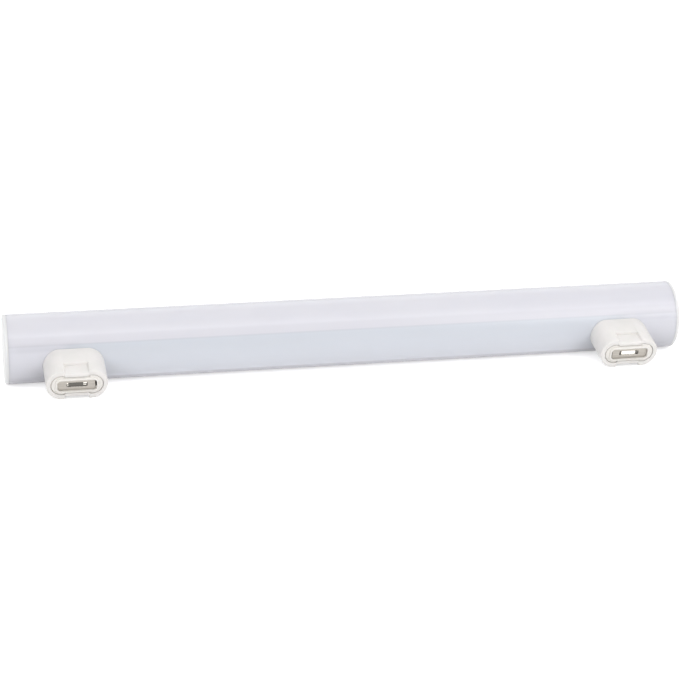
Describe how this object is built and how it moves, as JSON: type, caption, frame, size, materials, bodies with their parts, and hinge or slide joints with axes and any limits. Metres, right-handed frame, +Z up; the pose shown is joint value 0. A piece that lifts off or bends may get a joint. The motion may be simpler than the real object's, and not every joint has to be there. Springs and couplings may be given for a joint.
{
  "type": "tubular light bulb",
  "caption": "Straight opal tube lamp with two side bases, each with a slotted contact, that plugs into a pair of linear lampholders.",
  "frame": {"origin": "on the surface that the lamp lies on, under the middle of its outer box", "axes": "+X along the tube, -Y the way the two bases point (and slightly down), +Z up"},
  "size_m": [0.3, 0.0466, 0.03],
  "materials": {
    "opal_plastic": "satin opal white",
    "base_plastic": "satin warm white",
    "insert_plastic": "satin warm white",
    "nickel": "nickel plated sheet",
    "wire_sleeve": "white sleeve",
    "board_white": "white solder mask",
    "diode": "white package with a yellow window",
    "plain_aluminium": "rolled",
    "chip_black": "moulded black",
    "capacitor_sleeve": "shrunk sleeve",
    "fuse_body": "coated"
  },
  "bodies": {
    "root": {"opal_tube": "opal_plastic", "end_cap_left": "opal_plastic", "end_cap_right": "opal_plastic", "base_housing_left": "base_plastic", "base_housing_right": "base_plastic", "contact_insert_left": "insert_plastic", "contact_insert_right": "insert_plastic", "contact_plate_left": "nickel", "contact_plate_right": "nickel", "lead_wire_left": "wire_sleeve", "lead_wire_right": "wire_sleeve", "led_board": "board_white", "leds": "diode", "heat_spreader": "plain_aluminium", "bridge_rectifier": "chip_black", "driver_ic": "chip_black", "smoothing_capacitor": "capacitor_sleeve", "fuse_resistor": "fuse_body"}
  },
  "joints": []
}
